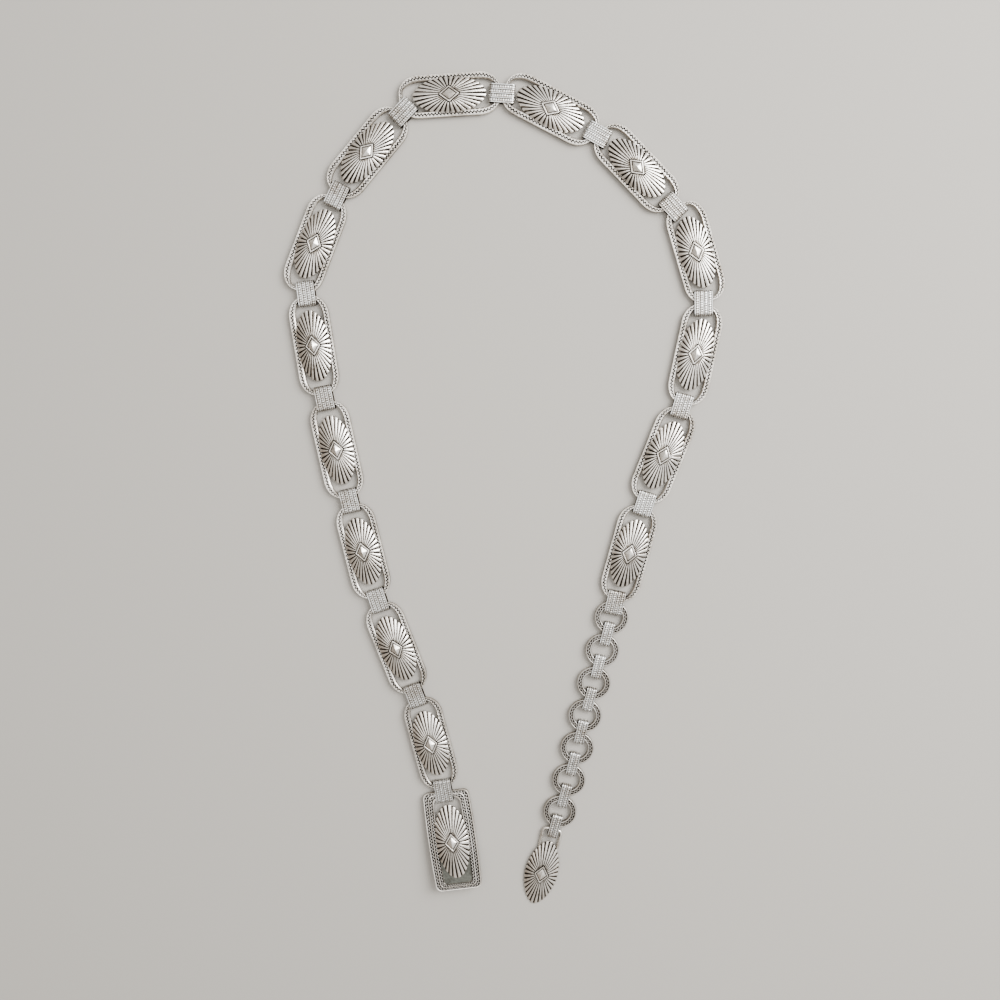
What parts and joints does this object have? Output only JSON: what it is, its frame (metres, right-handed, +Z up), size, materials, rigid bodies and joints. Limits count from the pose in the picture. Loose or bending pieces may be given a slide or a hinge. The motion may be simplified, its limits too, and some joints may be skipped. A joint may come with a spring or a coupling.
{
  "type": "concho belt",
  "caption": "Metal waist belt of oval fluted conchos on open frames, held by folded strip bands, with a rectangular hook buckle, a chain of rings and an oval end drop.",
  "frame": {"origin": "on the surface that the belt lies on, under the middle of its whole outline", "axes": "+X to the right of the laid-out belt, +Y from its two ends towards the bend of the U, +Z up"},
  "size_m": [0.2358, 0.4596, 0.0089],
  "materials": {
    "silver": "oxidised silver, worn bright on the raised parts and almost black in the grooves",
    "band_silver": "oxidised silver with fine stamped rows",
    "ring_silver": "dark oxidised silver with a stamped row"
  },
  "bodies": {
    "root": {"buckle": "silver", "link_01": "silver", "link_02": "silver", "link_03": "silver", "link_04": "silver", "link_05": "silver", "link_06": "silver", "link_07": "silver", "link_08": "silver", "link_09": "silver", "link_10": "silver", "link_11": "silver", "link_12": "silver", "link_13": "silver", "link_14": "silver", "wide_band_01": "band_silver", "wide_band_02": "band_silver", "wide_band_03": "band_silver", "wide_band_04": "band_silver", "wide_band_05": "band_silver", "wide_band_06": "band_silver", "wide_band_07": "band_silver", "wide_band_08": "band_silver", "wide_band_09": "band_silver", "wide_band_10": "band_silver", "wide_band_11": "band_silver", "wide_band_12": "band_silver", "wide_band_13": "band_silver", "wide_band_14": "band_silver", "wide_band_15": "band_silver", "ring_1": "ring_silver", "ring_2": "ring_silver", "ring_3": "ring_silver", "ring_4": "ring_silver", "ring_5": "ring_silver", "ring_6": "ring_silver", "ring_7": "ring_silver", "narrow_band_1": "band_silver", "narrow_band_2": "band_silver", "narrow_band_3": "band_silver", "narrow_band_4": "band_silver", "narrow_band_5": "band_silver", "narrow_band_6": "band_silver", "narrow_band_7": "band_silver", "drop": "silver"}
  },
  "joints": []
}
